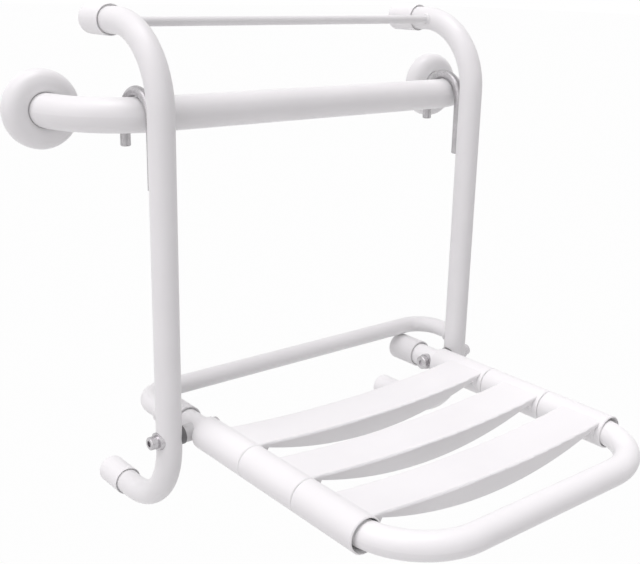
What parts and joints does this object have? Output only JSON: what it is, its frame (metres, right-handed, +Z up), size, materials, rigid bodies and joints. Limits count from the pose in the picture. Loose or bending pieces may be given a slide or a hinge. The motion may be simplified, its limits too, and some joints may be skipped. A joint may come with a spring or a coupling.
{
  "type": "folding bath seat on a wall grab rail",
  "caption": "Folding shower and bath seat with dished slats on a tubular frame that hangs by round hooks on a wall grab rail.",
  "frame": {"origin": "on the wall plane, midway between the two flanges of the grab rail and level with the rail's axis", "axes": "+X along the wall, to the right as seen from the front; +Y into the wall; +Z up"},
  "size_m": [0.592, 0.4467, 0.5074],
  "materials": {
    "rail_paint": "gloss white coat",
    "cover_paint": "gloss white coat",
    "plate_steel": "satin",
    "frame_paint": "gloss white coat",
    "rod_paint": "gloss white coat",
    "hook_steel": "polished",
    "buffer_plastic": "satin",
    "bolt_steel": "polished",
    "black_plastic": "matte",
    "bush_plastic": "satin",
    "slat_plastic": "satin white"
  },
  "bodies": {
    "wall_rail": {"grab_rail": "rail_paint", "flange_plate_left": "plate_steel", "flange_plate_right": "plate_steel", "flange_cover_left": "cover_paint", "flange_cover_right": "cover_paint"},
    "hanging_frame": {"side_frame_left": "frame_paint", "side_frame_right": "frame_paint", "top_rod": "rod_paint", "rear_stop_bar": "frame_paint", "hook_left": "hook_steel", "hook_right": "hook_steel", "wall_buffer_upper_left": "buffer_plastic", "wall_buffer_upper_right": "buffer_plastic", "wall_buffer_lower_left": "buffer_plastic", "wall_buffer_lower_right": "buffer_plastic", "pivot_bolt_left": "bolt_steel", "pivot_bolt_right": "bolt_steel", "head_washers": "bolt_steel", "saddle_washer_left": "black_plastic", "saddle_washer_right": "black_plastic", "round_nuts": "bolt_steel"},
    "seat": {"seat_frame": "frame_paint", "pivot_bush_left": "bush_plastic", "pivot_bush_right": "bush_plastic", "nut_washers": "bolt_steel", "seat_end_cap_left": "buffer_plastic", "seat_end_cap_right": "buffer_plastic", "slat_rear": "slat_plastic", "slat_middle": "slat_plastic", "slat_front": "slat_plastic"}
  },
  "joints": [
    {"name": "frame_lift", "type": "slide", "parent": "wall_rail", "child": "hanging_frame", "axis": [0, 0, 1], "range_m": [0, 0.05]},
    {"name": "seat_fold", "type": "hinge", "parent": "hanging_frame", "child": "seat", "pos_m": [0, -0.128, -0.31], "axis": [-1, 0, 0], "range_deg": [0, 91.9]}
  ]
}
